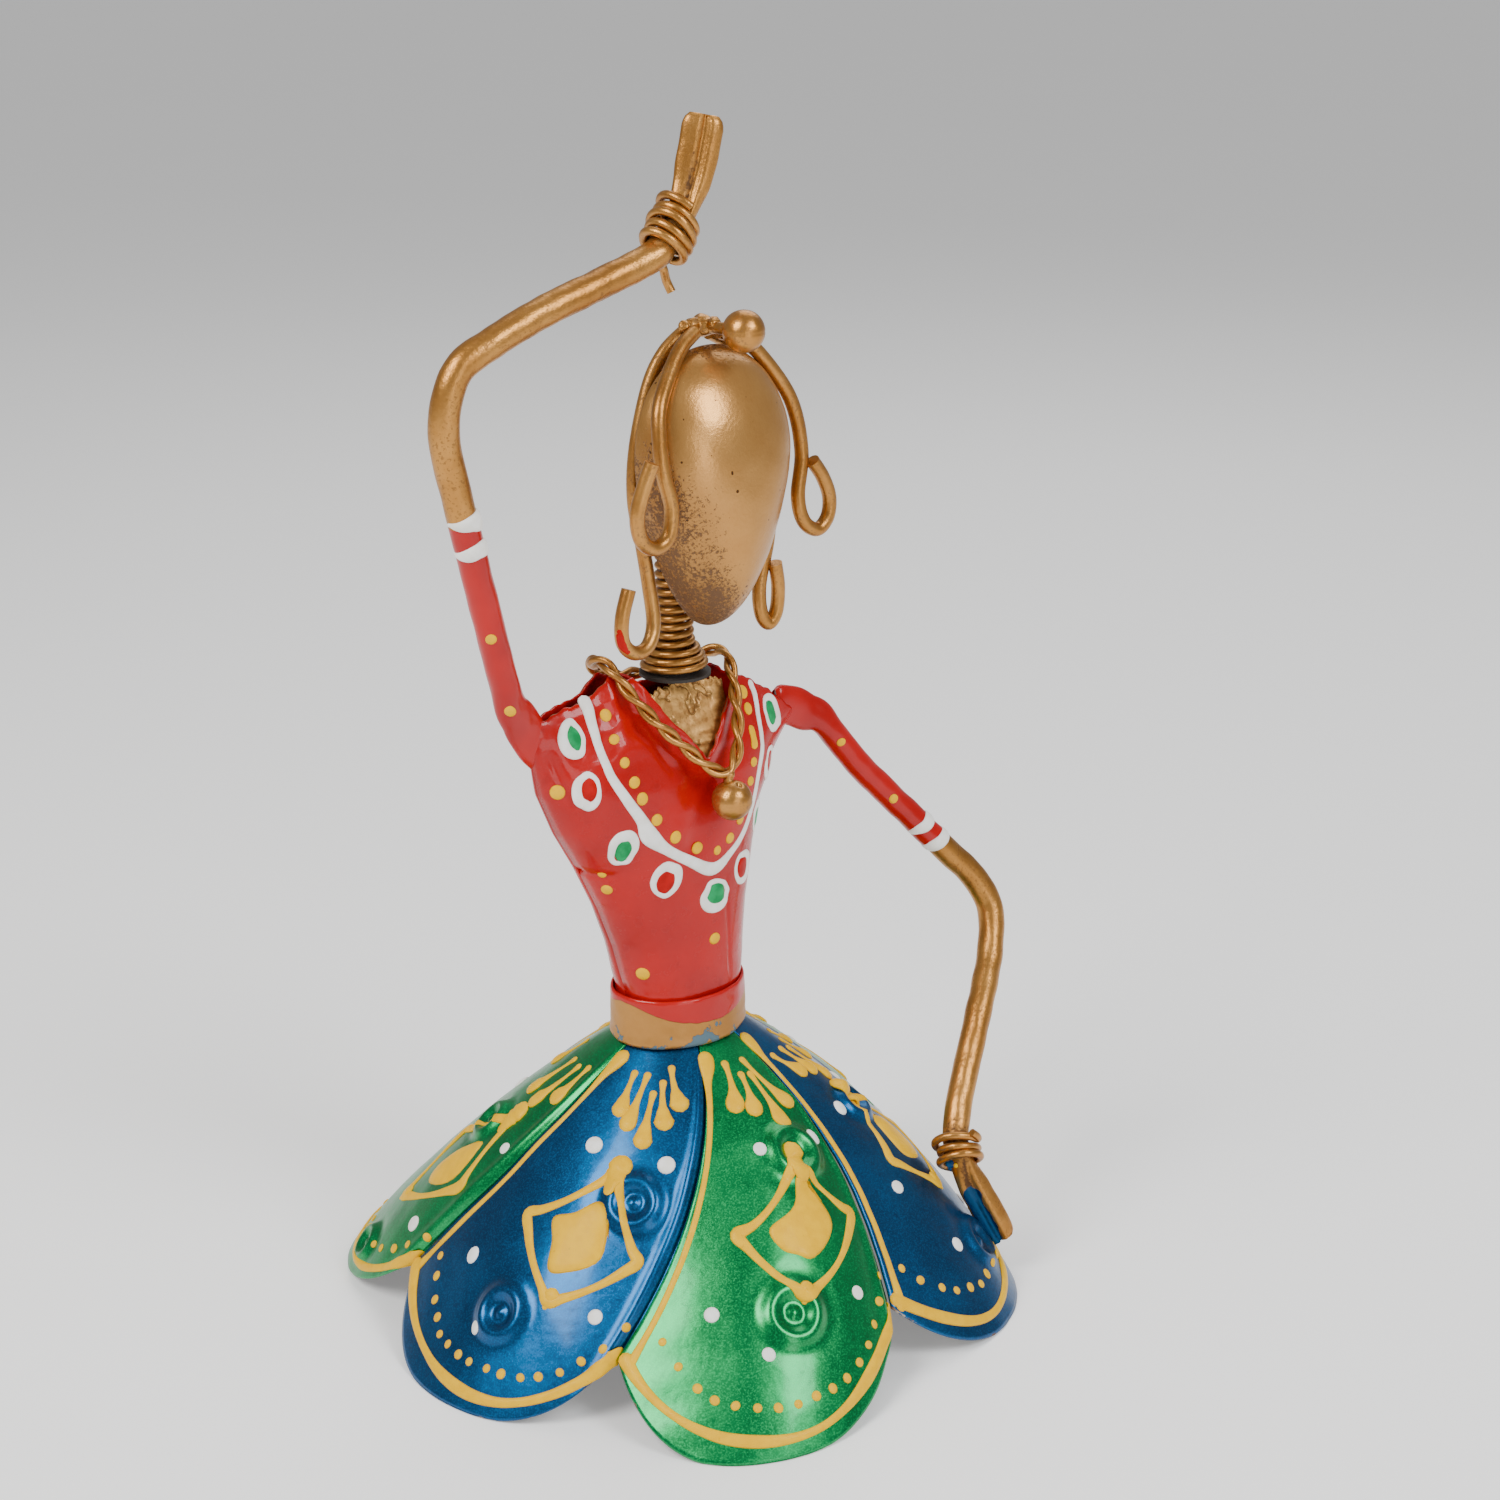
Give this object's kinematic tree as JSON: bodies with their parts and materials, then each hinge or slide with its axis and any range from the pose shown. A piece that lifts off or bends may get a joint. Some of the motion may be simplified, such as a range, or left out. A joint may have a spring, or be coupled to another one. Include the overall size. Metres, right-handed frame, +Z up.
{
  "type": "sprung dancing doll figurine",
  "caption": "Free-standing painted sheet-iron dancing figure with a petal skirt, bent tube arms and a head that bobs on a coil-spring neck.",
  "frame": {"origin": "on the floor, at the middle of the figure's plan box; the neck and skirt axis stands 5.3 mm towards -X and 1.2 mm towards +Y of it", "axes": "+Z up, the figure faces -Y, +X towards the figure's left and its lowered arm"},
  "size_m": [0.1631, 0.1544, 0.2726],
  "materials": {
    "blue_enamel": "metallic candy enamel",
    "green_enamel": "metallic candy enamel",
    "red_enamel": "gloss enamel",
    "gold_paint": "antique gold paint",
    "gold_wire": "antique gold paint on iron wire",
    "bare_iron": "dark raw iron"
  },
  "bodies": {
    "root": {"skirt_petal_1": "blue_enamel", "skirt_petal_2": "green_enamel", "skirt_petal_3": "blue_enamel", "skirt_petal_4": "green_enamel", "skirt_petal_5": "blue_enamel", "skirt_petal_6": "green_enamel", "waist_belt": "gold_paint", "waist_plate": "bare_iron", "torso_front_shell": "red_enamel", "torso_back_shell": "red_enamel", "chest_plate": "gold_paint", "neck_plate": "bare_iron", "raised_arm": "gold_paint", "lowered_arm": "gold_paint", "raised_wrist_wrap": "gold_wire", "lowered_wrist_wrap": "gold_wire"},
    "neck": {"neck_spring": "gold_wire"},
    "head": {"head_bracket": "bare_iron", "face_shell": "gold_paint", "hair_wire_front_right": "gold_wire", "hair_wire_back_right": "gold_wire", "hair_wire_front_left": "gold_wire", "hair_wire_back_left": "gold_wire", "hair_weld": "gold_paint", "brow_ball": "gold_paint", "brow_ball_pin": "gold_wire"},
    "necklace": {"necklace_strand_a": "gold_wire", "necklace_strand_b": "gold_wire", "pendant_ball": "gold_paint"}
  },
  "joints": [
    {"name": "neck_sway", "type": "hinge", "parent": "root", "child": "neck", "pos_m": [-0.0053, 0.0012, 0.156], "axis": [0, 1, 0], "range_deg": [-8, 8], "stiffness_Nm_per_rad": 0.15, "deforming": ["neck_spring"]},
    {"name": "neck_nod", "type": "hinge", "parent": "neck", "child": "head", "pos_m": [-0.0053, 0.0012, 0.176], "axis": [1, 0, 0], "range_deg": [-10, 10], "stiffness_Nm_per_rad": 0.15, "springref_deg": -1.78, "deforming": ["neck_spring"]},
    {"name": "necklace_lift", "type": "hinge", "parent": "root", "child": "necklace", "pos_m": [-0.0053, 0.0132, 0.147], "axis": [-1, 0, 0], "range_deg": [0, 6]}
  ]
}
